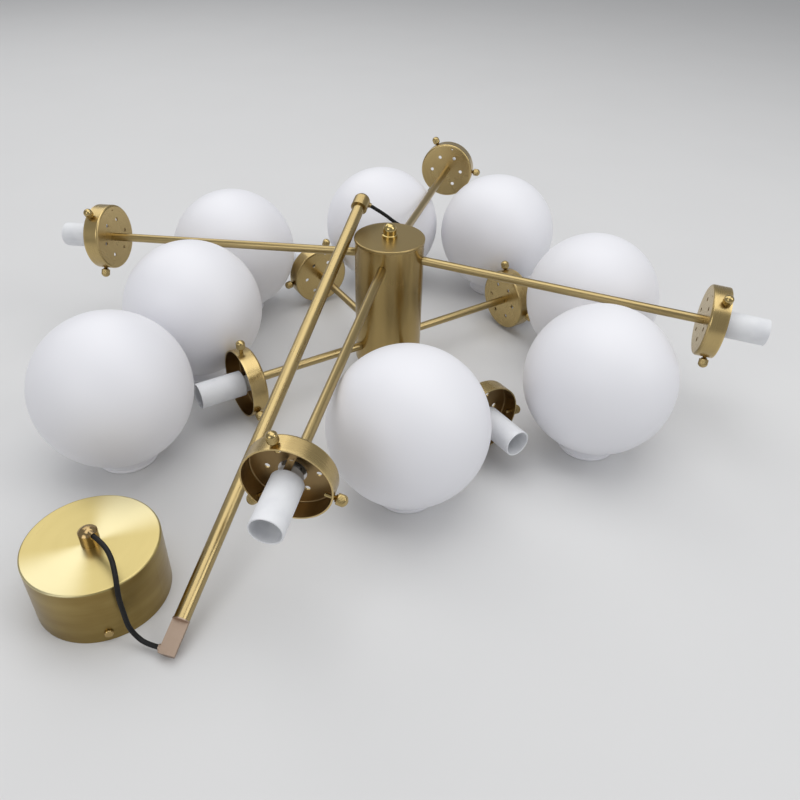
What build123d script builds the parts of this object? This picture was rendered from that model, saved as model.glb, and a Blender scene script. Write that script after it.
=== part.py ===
from build123d import *
import math
import os

# A sputnik chandelier, taken down and laid out on a flat surface: the hub stands on its foot
# with its eight arms out, the eight glass globes stand on their necks among the arms, the drop
# rod leans on the hub's cap, and the ceiling canopy stands beside the rod on its open rim.
# Sizes are in millimetres, +Z is up, and the origin is on the surface under the hub's axis.
# +X is to the right and +Y to the back, seen from the side where the canopy stands.

# --- Hub ---
HUB_RADIUS = 37.5
HUB_WALL = 1.5
HUB_BOTTOM = 16.0  # underside of the bottom plate above the surface
UPPER_HEIGHT = 145.3  # where the upper arms' axes cross the hub's axis
LOWER_HEIGHT = 38.3  # where the lower arms' axes cross it
CAP_ABOVE_ARMS = 19.7
HUB_TOP = UPPER_HEIGHT + CAP_ABOVE_ARMS  # top face of the cap above the surface
CAP_LIP = 0.8  # how far the cap stands out past the shell
PLATE_THICKNESS = 3.0  # cap and bottom plate
PLATE_SPIGOT = 4.0  # how deep each plate reaches into the shell
PLATE_FIT = 0.1  # radial gap of that spigot
CAP_ROUNDING = 1.1
STEM_RADIUS = 5.0
STEM_BORE = 3.4
STEM_INTO_FOOT = 8.0
STEM_INTO_FINIAL = 7.0
HOLE_FIT = 0.05  # radial gap of a screwed or slid fit
FINIAL_RADIUS = 8.4
FINIAL_HEIGHT = 15.5
FINIAL_FOOT = 3.1  # height of the wider foot
FINIAL_SLOPE = 0.6
FINIAL_WAIST_RADIUS = 7.2
FINIAL_SHOULDER = 8.5  # height at which the round top starts
FOOT_RADIUS = 9.0
FOOT_ROUNDING = 0.8
GLAND_RADIUS = 2.9  # short collar that the cord comes out of
GLAND_LENGTH = 2.0
FOOT_GLAND_HEIGHT = 6.5

# --- Arms: four upper ones along the quarters, four lower ones between them ---
ARM_RADIUS = 4.6
ARM_SPIGOT = 4.0  # radius of the threaded ends
ARM_BORE = 3.0
UPPER_LENGTH = 332.8  # hub axis to the back of the gallery
LOWER_LENGTH = 169.3
UPPER_DROOP = 3.9  # degrees below level
LOWER_DROOP = -0.8
UPPER_BEARINGS = (-2.2, 89.4, 180.0, 271.2)  # right, back, left, front, as the arms were screwed in
LOWER_BEARINGS = (45.4, 135.2, 226.5, 316.5)
SHOULDER_GAP = 0.05
NUT_ACROSS_FLATS = 12.0
NUT_HEIGHT = 3.5
THREAD_PAST_NUT = 0.7

# --- Gallery: the cup at the end of an arm that holds a globe's neck ---
GALLERY_RADIUS = 36.6
GALLERY_DEPTH = 18.0
GALLERY_WALL = 1.4
GALLERY_ROUNDING = 2.6
VENT_COUNT = 6
VENT_CIRCLE = 20.6
VENT_RADIUS = 2.3
PIN_HOLE_CIRCLE = 31.0
PIN_HOLE_RADIUS = 1.0
PIN_HOLE_TURN = 12.0
SCREW_FROM_MOUTH = 6.0
SCREWS_PER_GALLERY = 3

# --- Thumbscrew ---
SCREW_RADIUS = 2.0
SCREW_HEAD_RADIUS = 4.75
SCREW_HEAD_LENGTH = 9.0
SCREW_BARREL_LENGTH = 5.9  # straight part of the head
SCREW_CHAMFER = 0.5
SCREW_COLLAR_RADIUS = 3.1
SCREW_COLLAR_LENGTH = 1.2
SCREW_REACH = 6.4  # how far the tip stands inside the gallery's wall
SCREW_STANDOFF = 1.0  # collar to wall, with the screw turned in
# Turn of the first screw from the top of each gallery, and how far that screw is backed out.
UPPER_SCREW_TURNS = (30.0, -28.0, 90.0, 12.0)
LOWER_SCREW_TURNS = (-20.0, 20.0, 0.0, 20.0)
LOWER_SCREW_BACKED_OUT = (0.0, 0.0, 4.0, 0.0)

# --- Lampholder, its strap and its white sleeve ---
HOLDER_RADIUS = 10.4
HOLDER_START = 7.0
HOLDER_END = 44.0
HOLDER_FLANGE = 11.9
HOLDER_FLANGE_LENGTH = 3.0
LAMP_BORE = 7.0
LAMP_BORE_DEPTH = 26.0
STRAP_RADIUS = 11.5
STRAP_THICKNESS = 1.2
STRAP_LEG_WIDTH = 6.0
STRAP_LEG_THICKNESS = 0.9
STRAP_LEG_LENGTH = 16.0
SLEEVE_RADIUS = 13.5
SLEEVE_WALL = 1.3
SLEEVE_START = 15.0
SLEEVE_END = 63.2
SLEEVE_MOUTH_ROUNDING = 0.4

# --- Globe: opal glass ball with a short neck, standing on the neck ---
GLOBE_RADIUS = 75.0
GLOBE_WALL = 2.5
NECK_RADIUS = 28.3
NECK_WALL = 3.0
NECK_LENGTH = 13.0
NECK_BEAD = 1.3
NECK_BEAD_LENGTH = 3.0
NECK_BEAD_ROUNDING = 1.2
NECK_ROUNDING = 3.5
# Where each globe stands, from the near left one round to the near right one.
GLOBE_PLACES = (
    (-214.1, -227.5),
    (-207.3, -67.0),
    (-222.2, 82.7),
    (-61.8, 212.6),
    (94.0, 231.3),
    (225.3, 77.0),
    (237.5, -89.0),
    (70.2, -210.1),
)

# --- Drop rod, leaning on the left edge of the hub's cap ---
ROD_RADIUS = 6.5
ROD_WALL = 1.2
ROD_LENGTH = 475.0  # tube, without its end fittings
ROD_FOOT = (-64.8, -437.0, 8.0)  # middle of the lower fitting's end
ROD_REST_BEARING = 188.0  # where on the cap's edge the rod rests
ROD_REST_GAP = 0.3
LAP_RADIUS = 7.0
LAP_LENGTH = 28.0
LAP_FLAT = 1.0  # height of the cut face above the fitting's axis
LAP_COLLAR = 1.0  # round part left above the cut
LAP_SPIGOT = 8.0
LAP_GLAND_FROM_END = 4.5
LAP_GLAND_SINK = 2.6  # how far the collar's axis lies under the fitting's axis
FERRULE_RADIUS = 9.0
FERRULE_LENGTH = 13.0  # straight part, the dome comes on top
FERRULE_OVER_ROD = 6.0
FERRULE_DOME = 6.8
FERRULE_GLAND_BELOW_DOME = 1.0

# --- Ceiling canopy ---
CANOPY_RADIUS = 54.0
CANOPY_HEIGHT = 56.0
CANOPY_WALL = 1.4
CANOPY_ROUNDING = 1.6
CANOPY_PLACE = (-147.4, -385.6)
GRIP_RADIUS = 7.6
GRIP_HEIGHT = 16.0
GRIP_DOME = 3.8
GRIP_STUD = 6.0
GRIP_GLAND_BELOW_TOP = 4.0
CROSSBAR_WIDTH = 20.0
CROSSBAR_THICKNESS = 2.0
CROSSBAR_TAB = 14.0
CROSSBAR_LIFT = 1.0
CROSSBAR_END_GAP = 0.5
CROSSBAR_HOLE_CIRCLE = 66.0  # across the two ceiling screws
CROSSBAR_HOLE_RADIUS = 2.4
CROSSBAR_TURN = -55.0
SIDE_SCREW_RADIUS = 2.0
SIDE_SCREW_HEAD = 3.6
SIDE_SCREW_HEAD_LENGTH = 2.2
SIDE_SCREW_HEAD_ROUNDING = 1.3
SIDE_SCREW_STANDOFF = 0.25
SIDE_SCREW_LENGTH = 9.0
BLOCK_SIZE = (18.0, 12.0, 11.0)
BLOCK_WAY_RADIUS = 1.6
BLOCK_FROM_STEM = 3.0

# --- Cord: a thin round lead, one stretch from canopy to rod, one from rod to hub foot ---
CORD_RADIUS = 2.0
CORD_ARC_SHARE = 0.45  # part of a run that an arc at its end may use
CANOPY_CORD = (
    (-126.5, -396.4, 71.0),
    (-114.4, -406.4, 70.5),
    (-106.8, -415.7, 67.5),
    (-102.3, -422.7, 62.0),
    (-100.8, -426.4, 53.0),
    (-99.9, -427.5, 43.0),
    (-99.3, -427.8, 34.0),
    (-97.6, -429.4, 22.5),
    (-94.0, -429.2, 12.8),
    (-85.4, -430.6, 6.4),
)
HUB_CORD = (
    (-18.0, 46.5, 170.0),
    (-6.0, 49.0, 160.0),
    (7.5, 52.0, 152.5),
    (16.5, 54.0, 138.0),
    (20.0, 55.5, 117.0),
    (19.5, 56.5, 94.0),
    (17.0, 57.0, 70.0),
    (13.5, 56.5, 49.0),
    (10.5, 55.0, 32.0),
    (7.5, 50.0, 18.5),
    (4.5, 40.0, 9.5),
    (1.8, 25.0, 5.9),
)


def disc(radius, height, base=0.0):
    """An upright cylinder that stands at the height base."""
    return Pos(0, 0, base + height / 2) * Cylinder(radius, height)


def tube(outer, inner, height, base=0.0):
    """An upright tube that stands at the height base."""
    return disc(outer, height, base) - disc(inner, height, base)


def turned(outline):
    """The solid that an outline in radius and height makes when it is turned about +Z."""
    return revolve(make_face(Plane.XZ * outline), Axis.Z)


def hexagon_nut(across, bore, height):
    """A nut that stands on its face, with the bore along +Z."""
    blank = extrude(RegularPolygon(across / math.sqrt(3), 6), height)
    return blank - disc(bore, height)


def dome_arc(radius, base, height):
    """The outline of a round cap from its rim to its tip, an arc centred on the axis."""
    ball = (radius**2 + height**2) / (2 * height)
    centre = base + height - ball
    half_turn = math.asin(min(1.0, radius / ball)) / 2
    middle = (ball * math.sin(half_turn), centre + ball * math.cos(half_turn))
    return ThreePointArc((radius, base), middle, (0, base + height))


# ---------------------------------------------------------------- frames of reference


def upper_frame(index):
    """The frame of an upper arm: +X runs out along the arm from the hub's axis."""
    return Pos(0, 0, UPPER_HEIGHT) * Rot(0, 0, UPPER_BEARINGS[index]) * Rot(0, UPPER_DROOP, 0)


def lower_frame(index):
    """The frame of a lower arm: +X runs out along the arm from the hub's axis."""
    return Pos(0, 0, LOWER_HEIGHT) * Rot(0, 0, LOWER_BEARINGS[index]) * Rot(0, LOWER_DROOP, 0)


def gallery_frame(arm, length):
    """The frame of a gallery: +Z runs out of its mouth and +X to its top."""
    return arm * Pos(length, 0, 0) * Rot(0, 90, 0) * Rot(0, 0, 180)


def screw_frame(gallery, turn, backed_out=0.0):
    """The frame of a thumbscrew: +Z runs outwards along its shank from the gallery's axis."""
    height = GALLERY_DEPTH - SCREW_FROM_MOUTH
    return gallery * Pos(0, 0, height) * Rot(0, 0, turn) * Rot(0, 90, 0) * Pos(0, 0, backed_out)


ARM_NAMES = (
    "upper_right",
    "upper_back",
    "upper_left",
    "upper_front",
    "lower_right_back",
    "lower_left_back",
    "lower_left_front",
    "lower_right_front",
)
ARM_FRAMES = [upper_frame(i) for i in range(4)] + [lower_frame(i) for i in range(4)]
ARM_LENGTHS = [UPPER_LENGTH] * 4 + [LOWER_LENGTH] * 4
ARM_DROOPS = [UPPER_DROOP] * 4 + [LOWER_DROOP] * 4
GALLERY_FRAMES = [gallery_frame(f, n) for f, n in zip(ARM_FRAMES, ARM_LENGTHS)]
FIRST_SCREW_TURNS = UPPER_SCREW_TURNS + LOWER_SCREW_TURNS
FIRST_SCREW_BACKED_OUT = (0.0,) * 4 + LOWER_SCREW_BACKED_OUT


def rod_frame():
    """The frame of the drop rod: +Z runs up its axis from the lower end.

    The axis starts at the foot and passes over one spot of the cap's edge, square to the edge
    there, at the rod's radius and a small gap. A few repeats settle the direction.
    """
    bearing = math.radians(ROD_REST_BEARING)
    edge_radius = HUB_RADIUS + CAP_LIP
    edge = Vector(edge_radius * math.cos(bearing), edge_radius * math.sin(bearing), HUB_TOP)
    along_edge = Vector(-math.sin(bearing), math.cos(bearing), 0)
    foot = Vector(*ROD_FOOT)
    direction = (edge - foot).normalized()
    for _ in range(12):
        lift = along_edge.cross(direction).normalized()
        lift = lift * math.copysign(1.0, lift.Z)
        passing = edge + lift * (ROD_RADIUS + ROD_REST_GAP)
        direction = (passing - foot).normalized()
    return Plane(origin=foot, x_dir=Vector(1, 0, 0), z_dir=direction).location


ROD_FRAME = rod_frame()
CANOPY_FRAME = Pos(CANOPY_PLACE[0], CANOPY_PLACE[1], 0)


def gland_frame(anchor, towards):
    """The frame of a cord collar: +Z runs from the anchor towards the cord's first bend."""
    start = anchor.position
    return Plane(origin=start, z_dir=Vector(*towards) - start).location


def foot_gland():
    """The collar at the back of the hub's foot."""
    return gland_frame(Pos(0, 0, FOOT_GLAND_HEIGHT), HUB_CORD[-1])


def ferrule_gland():
    """The collar on the right of the rod's ferrule."""
    middle = LAP_LENGTH + ROD_LENGTH + FERRULE_LENGTH - FERRULE_OVER_ROD - FERRULE_GLAND_BELOW_DOME
    return gland_frame(ROD_FRAME * Pos(0, 0, middle), HUB_CORD[0])


def grip_gland():
    """The collar near the top of the canopy's cord grip."""
    height = CANOPY_HEIGHT + GRIP_HEIGHT - GRIP_GLAND_BELOW_TOP
    return gland_frame(CANOPY_FRAME * Pos(0, 0, height), CANOPY_CORD[0])


def lap_gland():
    """The collar on the left of the rod's lower fitting, under the cut face."""
    return gland_frame(ROD_FRAME * Pos(0, LAP_GLAND_SINK, LAP_GLAND_FROM_END), CANOPY_CORD[-1])


# ---------------------------------------------------------------- hub


def arm_holes():
    """The eight holes in the hub's shell that the arms' threaded ends pass."""
    return [
        frame * Pos(HUB_RADIUS, 0, 0) * Rot(0, 90, 0) * Cylinder(ARM_SPIGOT + HOLE_FIT, HUB_RADIUS)
        for frame in ARM_FRAMES
    ]


def hub_shell():
    """The hub's drawn shell, open at both ends and drilled for the arms."""
    base = HUB_BOTTOM + PLATE_THICKNESS
    shell = tube(HUB_RADIUS, HUB_RADIUS - HUB_WALL, HUB_TOP - PLATE_THICKNESS - base, base)
    for hole in arm_holes():
        shell -= hole
    return shell


def hub_plate(lip):
    """A plate that closes the shell: the outer face looks up, the spigot hangs below."""
    radius = HUB_RADIUS + lip
    rounding = min(CAP_ROUNDING, PLATE_THICKNESS / 2)
    plate = disc(radius, PLATE_THICKNESS)
    plate = fillet(plate.edges().sort_by(Axis.Z)[-1], rounding)
    spigot_outer = HUB_RADIUS - HUB_WALL - PLATE_FIT
    plate += tube(spigot_outer, spigot_outer - HUB_WALL, PLATE_SPIGOT, -PLATE_SPIGOT)
    return plate - disc(STEM_RADIUS, PLATE_THICKNESS)


def hub_top_plate():
    """The cap, a little wider than the shell, with a rounded lip."""
    return Pos(0, 0, HUB_TOP - PLATE_THICKNESS) * hub_plate(CAP_LIP)


def hub_bottom_plate():
    """The plate at the hub's lower end, flush with the shell."""
    return Pos(0, 0, HUB_BOTTOM + PLATE_THICKNESS) * Rot(180, 0, 0) * hub_plate(0.0)


def hub_stem():
    """The threaded tube through the hub that draws both plates onto the shell."""
    base = HUB_BOTTOM - STEM_INTO_FOOT
    return tube(STEM_RADIUS, STEM_BORE, HUB_TOP + STEM_INTO_FINIAL - base, base)


def finial_nut():
    """The acorn nut on the cap: a foot, a waist and a ball top over a blind bore."""
    side = Polyline(
        (0, 0),
        (FINIAL_RADIUS, 0),
        (FINIAL_RADIUS, FINIAL_FOOT),
        (FINIAL_WAIST_RADIUS, FINIAL_FOOT + FINIAL_SLOPE),
        (FINIAL_WAIST_RADIUS, FINIAL_SHOULDER),
    )
    outline = side
    outline += dome_arc(FINIAL_WAIST_RADIUS, FINIAL_SHOULDER, FINIAL_HEIGHT - FINIAL_SHOULDER)
    outline += Line((0, FINIAL_HEIGHT), (0, 0))
    nut = turned(outline) - disc(STEM_RADIUS, STEM_INTO_FINIAL)
    return Pos(0, 0, HUB_TOP) * nut


def hub_foot():
    """The coupling under the hub: it takes the stem above and lets the cord out at the back."""
    foot = disc(FOOT_RADIUS, HUB_BOTTOM)
    foot = fillet(foot.edges().sort_by(Axis.Z)[0], FOOT_ROUNDING)
    foot += foot_gland() * disc(GLAND_RADIUS, FOOT_RADIUS + GLAND_LENGTH)
    return foot - disc(STEM_RADIUS, STEM_INTO_FOOT, HUB_BOTTOM - STEM_INTO_FOOT)


def terminal_block():
    """A block of three screw terminals with a way through each."""
    length, width, height = BLOCK_SIZE
    block = Pos(0, 0, height / 2) * Box(length, width, height)
    for step in (-1, 0, 1):
        block -= Pos(step * length / 3, 0, height / 2) * Rot(90, 0, 0) * Cylinder(BLOCK_WAY_RADIUS, width)
    return block


def terminal_blocks():
    """One block on the hub's bottom plate and one on the canopy's crossbar."""
    hub_offset = STEM_RADIUS + BLOCK_SIZE[1] / 2 + BLOCK_FROM_STEM
    in_hub = Pos(0, -hub_offset, HUB_BOTTOM + PLATE_THICKNESS) * terminal_block()
    in_canopy = crossbar_frame() * Pos(0, 0, CROSSBAR_THICKNESS) * terminal_block()
    return [in_hub, in_canopy]


# ---------------------------------------------------------------- arms and galleries


def shoulder_start(droop):
    """Where an arm's visible tube starts, clear of the round shell on every side."""
    tilt = math.radians(abs(droop))
    return (HUB_RADIUS + ARM_RADIUS * math.sin(tilt)) / math.cos(tilt) + SHOULDER_GAP


def inner_nut_face(droop):
    """Where the face of a nut inside the shell lies, with its corners clear of the wall."""
    tilt = math.radians(abs(droop))
    corner = NUT_ACROSS_FLATS / math.sqrt(3)
    wall = math.sqrt((HUB_RADIUS - HUB_WALL) ** 2 - corner**2)
    return (wall - corner * math.sin(tilt)) / math.cos(tilt) - SHOULDER_GAP


def arm(length, droop):
    """An arm along +X: a tube with a threaded spigot at each end and a wire way through."""
    start = shoulder_start(droop)
    inner_end = inner_nut_face(droop) - NUT_HEIGHT - THREAD_PAST_NUT
    outer_end = length + GALLERY_WALL + STRAP_THICKNESS + NUT_HEIGHT + THREAD_PAST_NUT
    rod = disc(ARM_RADIUS, length - start, start)
    rod += disc(ARM_SPIGOT, outer_end - inner_end, inner_end)
    rod -= disc(ARM_BORE, outer_end - inner_end, inner_end)
    return Rot(0, 90, 0) * rod


def lock_nuts():
    """Sixteen like nuts: one inside the hub and one inside the gallery for each arm."""
    nut = hexagon_nut(NUT_ACROSS_FLATS, ARM_SPIGOT, NUT_HEIGHT)
    nuts = []
    for frame, gallery, droop in zip(ARM_FRAMES, GALLERY_FRAMES, ARM_DROOPS):
        inner = inner_nut_face(droop) - NUT_HEIGHT
        nuts.append(frame * Pos(inner, 0, 0) * Rot(0, 90, 0) * nut)
        nuts.append(gallery * Pos(0, 0, GALLERY_WALL + STRAP_THICKNESS) * nut)
    return nuts


def gallery(first_turn):
    """A spun cup that looks along +Z: back plate with vents, rim wall with screw holes."""
    cup = disc(GALLERY_RADIUS, GALLERY_DEPTH)
    cup = fillet(cup.edges().sort_by(Axis.Z)[0], GALLERY_ROUNDING)
    hollow = disc(GALLERY_RADIUS - GALLERY_WALL, GALLERY_DEPTH, GALLERY_WALL)
    hollow = fillet(hollow.edges().sort_by(Axis.Z)[0], GALLERY_ROUNDING - GALLERY_WALL)
    cup -= hollow
    cup -= disc(ARM_SPIGOT + HOLE_FIT, GALLERY_WALL)
    for vent in range(VENT_COUNT):
        turn = Rot(0, 0, 360 / VENT_COUNT * (vent + 0.5))
        cup -= turn * Pos(VENT_CIRCLE, 0, 0) * disc(VENT_RADIUS, GALLERY_WALL)
    cup -= Rot(0, 0, PIN_HOLE_TURN) * Pos(PIN_HOLE_CIRCLE, 0, 0) * disc(PIN_HOLE_RADIUS, GALLERY_WALL)
    for screw in range(SCREWS_PER_GALLERY):
        frame = screw_frame(Pos(0, 0, 0), first_turn + 360 / SCREWS_PER_GALLERY * screw)
        cup -= frame * disc(SCREW_RADIUS + HOLE_FIT, GALLERY_RADIUS)
    return cup


def thumbscrew():
    """A screw along +Z, measured from the gallery's axis: shank, collar and domed head."""
    tip = GALLERY_RADIUS - GALLERY_WALL - SCREW_REACH
    collar = GALLERY_RADIUS + SCREW_STANDOFF
    head = collar + SCREW_COLLAR_LENGTH
    end = head + SCREW_HEAD_LENGTH
    barrel_top = head + SCREW_BARREL_LENGTH
    side = Polyline(
        (0, tip),
        (SCREW_RADIUS - SCREW_CHAMFER, tip),
        (SCREW_RADIUS, tip + SCREW_CHAMFER),
        (SCREW_RADIUS, collar),
        (SCREW_COLLAR_RADIUS, collar),
        (SCREW_COLLAR_RADIUS, head),
        (SCREW_HEAD_RADIUS - SCREW_CHAMFER, head),
        (SCREW_HEAD_RADIUS, head + SCREW_CHAMFER),
        (SCREW_HEAD_RADIUS, barrel_top),
    )
    outline = side + dome_arc(SCREW_HEAD_RADIUS, barrel_top, end - barrel_top)
    outline += Line((0, end), (0, tip))
    return turned(outline)


def clamp_screw(index):
    """The first thumbscrew of a gallery, which is the one that moves."""
    frame = screw_frame(
        GALLERY_FRAMES[index], FIRST_SCREW_TURNS[index], FIRST_SCREW_BACKED_OUT[index]
    )
    return frame * thumbscrew()


def other_screws():
    """The two further thumbscrews of every gallery."""
    screw = thumbscrew()
    step = 360 / SCREWS_PER_GALLERY
    return [
        screw_frame(GALLERY_FRAMES[index], FIRST_SCREW_TURNS[index] + step * place) * screw
        for index in range(8)
        for place in range(1, SCREWS_PER_GALLERY)
    ]


def lampholder():
    """The small screw lampholder along +Z: a barrel with a flange at its open mouth."""
    holder = disc(HOLDER_RADIUS, HOLDER_END - HOLDER_START, HOLDER_START)
    holder += disc(HOLDER_FLANGE, HOLDER_FLANGE_LENGTH, HOLDER_END - HOLDER_FLANGE_LENGTH)
    return holder - disc(LAMP_BORE, LAMP_BORE_DEPTH, HOLDER_END - LAMP_BORE_DEPTH)


def holder_strap():
    """The strap that carries the lampholder: a round foot under the nut and two legs."""
    strap = tube(STRAP_RADIUS, ARM_SPIGOT, STRAP_THICKNESS, GALLERY_WALL)
    leg_height = STRAP_LEG_LENGTH + STRAP_THICKNESS
    for side in (-1, 1):
        middle = HOLDER_RADIUS + STRAP_LEG_THICKNESS / 2
        leg = Box(STRAP_LEG_THICKNESS, STRAP_LEG_WIDTH, leg_height)
        strap += Pos(side * middle, 0, GALLERY_WALL + leg_height / 2) * leg
    return strap


def sleeve():
    """The white sleeve along +Z, open at both ends, pushed over the lampholder."""
    body = tube(SLEEVE_RADIUS, SLEEVE_RADIUS - SLEEVE_WALL, SLEEVE_END - SLEEVE_START, SLEEVE_START)
    mouth = body.edges().group_by(Axis.Z)[-1]
    return fillet(mouth, SLEEVE_MOUTH_ROUNDING)


# ---------------------------------------------------------------- globes


def globe():
    """An opal ball open below, on a short neck that ends in a small bead."""
    centre = NECK_LENGTH + math.sqrt(GLOBE_RADIUS**2 - NECK_RADIUS**2)
    shell = Pos(0, 0, centre) * Sphere(GLOBE_RADIUS) + disc(NECK_RADIUS, centre)
    circles = shell.edges().filter_by(GeomType.CIRCLE)
    seam = circles.filter_by_position(Axis.Z, NECK_LENGTH / 2, NECK_LENGTH * 3 / 2)
    shell = fillet(seam, NECK_ROUNDING)
    bead = disc(NECK_RADIUS + NECK_BEAD, NECK_BEAD_LENGTH)
    shell += fillet(bead.edges().filter_by(GeomType.CIRCLE), NECK_BEAD_ROUNDING)
    shell -= Pos(0, 0, centre) * Sphere(GLOBE_RADIUS - GLOBE_WALL)
    shell -= disc(NECK_RADIUS - NECK_WALL, centre)
    return shell


# ---------------------------------------------------------------- drop rod


def rod_tube():
    """The drop rod's tube, between its two end fittings."""
    return ROD_FRAME * tube(ROD_RADIUS, ROD_RADIUS - ROD_WALL, ROD_LENGTH, LAP_LENGTH)


def rod_lower_fitting():
    """The fitting at the rod's lower end: a round plug cut to a flat tongue, with a collar."""
    plug = disc(LAP_RADIUS, LAP_LENGTH)
    above = Box(3 * LAP_RADIUS, 2 * LAP_RADIUS, LAP_LENGTH - LAP_COLLAR)
    plug -= Pos(0, -LAP_FLAT - LAP_RADIUS, (LAP_LENGTH - LAP_COLLAR) / 2) * above
    plug += disc(ROD_RADIUS - ROD_WALL, LAP_SPIGOT, LAP_LENGTH)
    return ROD_FRAME * plug + lap_gland() * disc(GLAND_RADIUS, LAP_RADIUS + GLAND_LENGTH)


def rod_upper_ferrule():
    """The domed ferrule on the rod's upper end, with a collar that the cord comes out of."""
    base = LAP_LENGTH + ROD_LENGTH - FERRULE_OVER_ROD
    side = Polyline((0, base), (FERRULE_RADIUS, base), (FERRULE_RADIUS, base + FERRULE_LENGTH))
    outline = side + dome_arc(FERRULE_RADIUS, base + FERRULE_LENGTH, FERRULE_DOME)
    outline += Line((0, base + FERRULE_LENGTH + FERRULE_DOME), (0, base))
    ferrule = turned(outline) - disc(ROD_RADIUS, FERRULE_OVER_ROD, base)
    return ROD_FRAME * ferrule + ferrule_gland() * disc(GLAND_RADIUS, FERRULE_RADIUS + GLAND_LENGTH)


# ---------------------------------------------------------------- canopy


def crossbar_frame():
    """The frame of the mounting crossbar inside the canopy, on its lower face."""
    return CANOPY_FRAME * Pos(0, 0, CROSSBAR_LIFT) * Rot(0, 0, CROSSBAR_TURN)


def side_screw_frames():
    """The frames of the two side screws: +Z runs out through the canopy's wall."""
    height = CROSSBAR_TAB / 2 + CROSSBAR_THICKNESS / 2
    return [
        crossbar_frame() * Rot(0, 0, turn) * Pos(CANOPY_RADIUS, 0, height) * Rot(0, 90, 0)
        for turn in (0, 180)
    ]


def canopy_shell():
    """The spun canopy, standing on its open rim with its plate up."""
    shell = disc(CANOPY_RADIUS, CANOPY_HEIGHT)
    shell = fillet(shell.edges().sort_by(Axis.Z)[-1], CANOPY_ROUNDING)
    shell -= disc(CANOPY_RADIUS - CANOPY_WALL, CANOPY_HEIGHT - CANOPY_WALL)
    shell -= disc(STEM_RADIUS, CANOPY_HEIGHT)
    shell = CANOPY_FRAME * shell
    for frame in side_screw_frames():
        shell -= frame * Cylinder(SIDE_SCREW_RADIUS + HOLE_FIT, 4 * CANOPY_WALL)
    return shell


def canopy_crossbar():
    """The mounting bar: two holes for the ceiling screws and a tapped tab at each end."""
    length = 2 * (CANOPY_RADIUS - CANOPY_WALL - HOLE_FIT - CROSSBAR_END_GAP)
    bar = Pos(0, 0, CROSSBAR_THICKNESS / 2) * Box(length, CROSSBAR_WIDTH, CROSSBAR_THICKNESS)
    for side in (-1, 1):
        tab = Box(CROSSBAR_THICKNESS, CROSSBAR_WIDTH, CROSSBAR_TAB)
        bar += Pos(side * (length - CROSSBAR_THICKNESS) / 2, 0, CROSSBAR_TAB / 2) * tab
        bar -= Pos(side * CROSSBAR_HOLE_CIRCLE / 2, 0, 0) * disc(CROSSBAR_HOLE_RADIUS, CROSSBAR_THICKNESS)
    bar &= disc(CANOPY_RADIUS - CANOPY_WALL - HOLE_FIT, CROSSBAR_TAB)
    bar = crossbar_frame() * bar
    for frame in side_screw_frames():
        bar -= frame * Cylinder(SIDE_SCREW_RADIUS, 2 * SIDE_SCREW_LENGTH)
    return bar


def canopy_side_screws():
    """The two round-headed screws that hold the canopy to the crossbar."""
    screw = disc(SIDE_SCREW_RADIUS, SIDE_SCREW_LENGTH, -SIDE_SCREW_LENGTH)
    head = disc(SIDE_SCREW_HEAD, SIDE_SCREW_HEAD_LENGTH, SIDE_SCREW_STANDOFF)
    screw += fillet(head.edges().sort_by(Axis.Z)[-1], SIDE_SCREW_HEAD_ROUNDING)
    screw += disc(SIDE_SCREW_RADIUS, 2 * SIDE_SCREW_STANDOFF)
    return [frame * screw for frame in side_screw_frames()]


def canopy_cord_grip():
    """The domed cord grip on the canopy: a stud below and a collar that the cord comes out of."""
    straight = GRIP_HEIGHT - GRIP_DOME
    side = Polyline((0, 0), (GRIP_RADIUS, 0), (GRIP_RADIUS, straight))
    outline = side + dome_arc(GRIP_RADIUS, straight, GRIP_DOME)
    outline += Line((0, GRIP_HEIGHT), (0, 0))
    grip = turned(outline) + disc(STEM_RADIUS, CANOPY_WALL + GRIP_STUD, -CANOPY_WALL - GRIP_STUD)
    grip = CANOPY_FRAME * Pos(0, 0, CANOPY_HEIGHT) * grip
    return grip + grip_gland() * disc(GLAND_RADIUS, GRIP_RADIUS + GLAND_LENGTH)


# ---------------------------------------------------------------- cord


def cord_tube(name, points):
    """A round tube along straight runs joined by tangent arcs, as large as the runs allow."""
    runs = [(b - a).length for a, b in zip(points, points[1:])]
    radii = []
    for i in range(1, len(points) - 1):
        turn = (points[i] - points[i - 1]).get_angle(points[i + 1] - points[i])
        radii.append(CORD_ARC_SHARE * min(runs[i - 1], runs[i]) / math.tan(math.radians(turn) / 2))
    path = FilletPolyline(*points, radius=radii)
    start = Plane(origin=points[0], z_dir=points[1] - points[0])
    body = sweep(start * Circle(CORD_RADIUS), path=path)
    section = math.pi * CORD_RADIUS**2
    ratio = body.volume / section / path.length
    print(name, "length", round(path.length, 1), "volume ratio", round(ratio, 4))
    print(name, "radii", [round(radius, 1) for radius in radii], "runs", [round(run, 1) for run in runs])
    return body


def canopy_cord():
    """The stretch from the canopy's cord grip, over the plate's edge, to the rod's lower end."""
    start = (grip_gland() * Pos(0, 0, GRIP_RADIUS + GLAND_LENGTH)).position
    end = (lap_gland() * Pos(0, 0, LAP_RADIUS + GLAND_LENGTH)).position
    return cord_tube("cord_canopy", [start] + [Vector(*p) for p in CANOPY_CORD] + [end])


def hub_cord():
    """The stretch from the rod's ferrule, down behind the hub, to the back of the foot."""
    start = (ferrule_gland() * Pos(0, 0, FERRULE_RADIUS + GLAND_LENGTH)).position
    end = (foot_gland() * Pos(0, 0, FOOT_RADIUS + GLAND_LENGTH)).position
    return cord_tube("cord_hub", [start] + [Vector(*p) for p in HUB_CORD] + [end])


# ---------------------------------------------------------------- files


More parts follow.
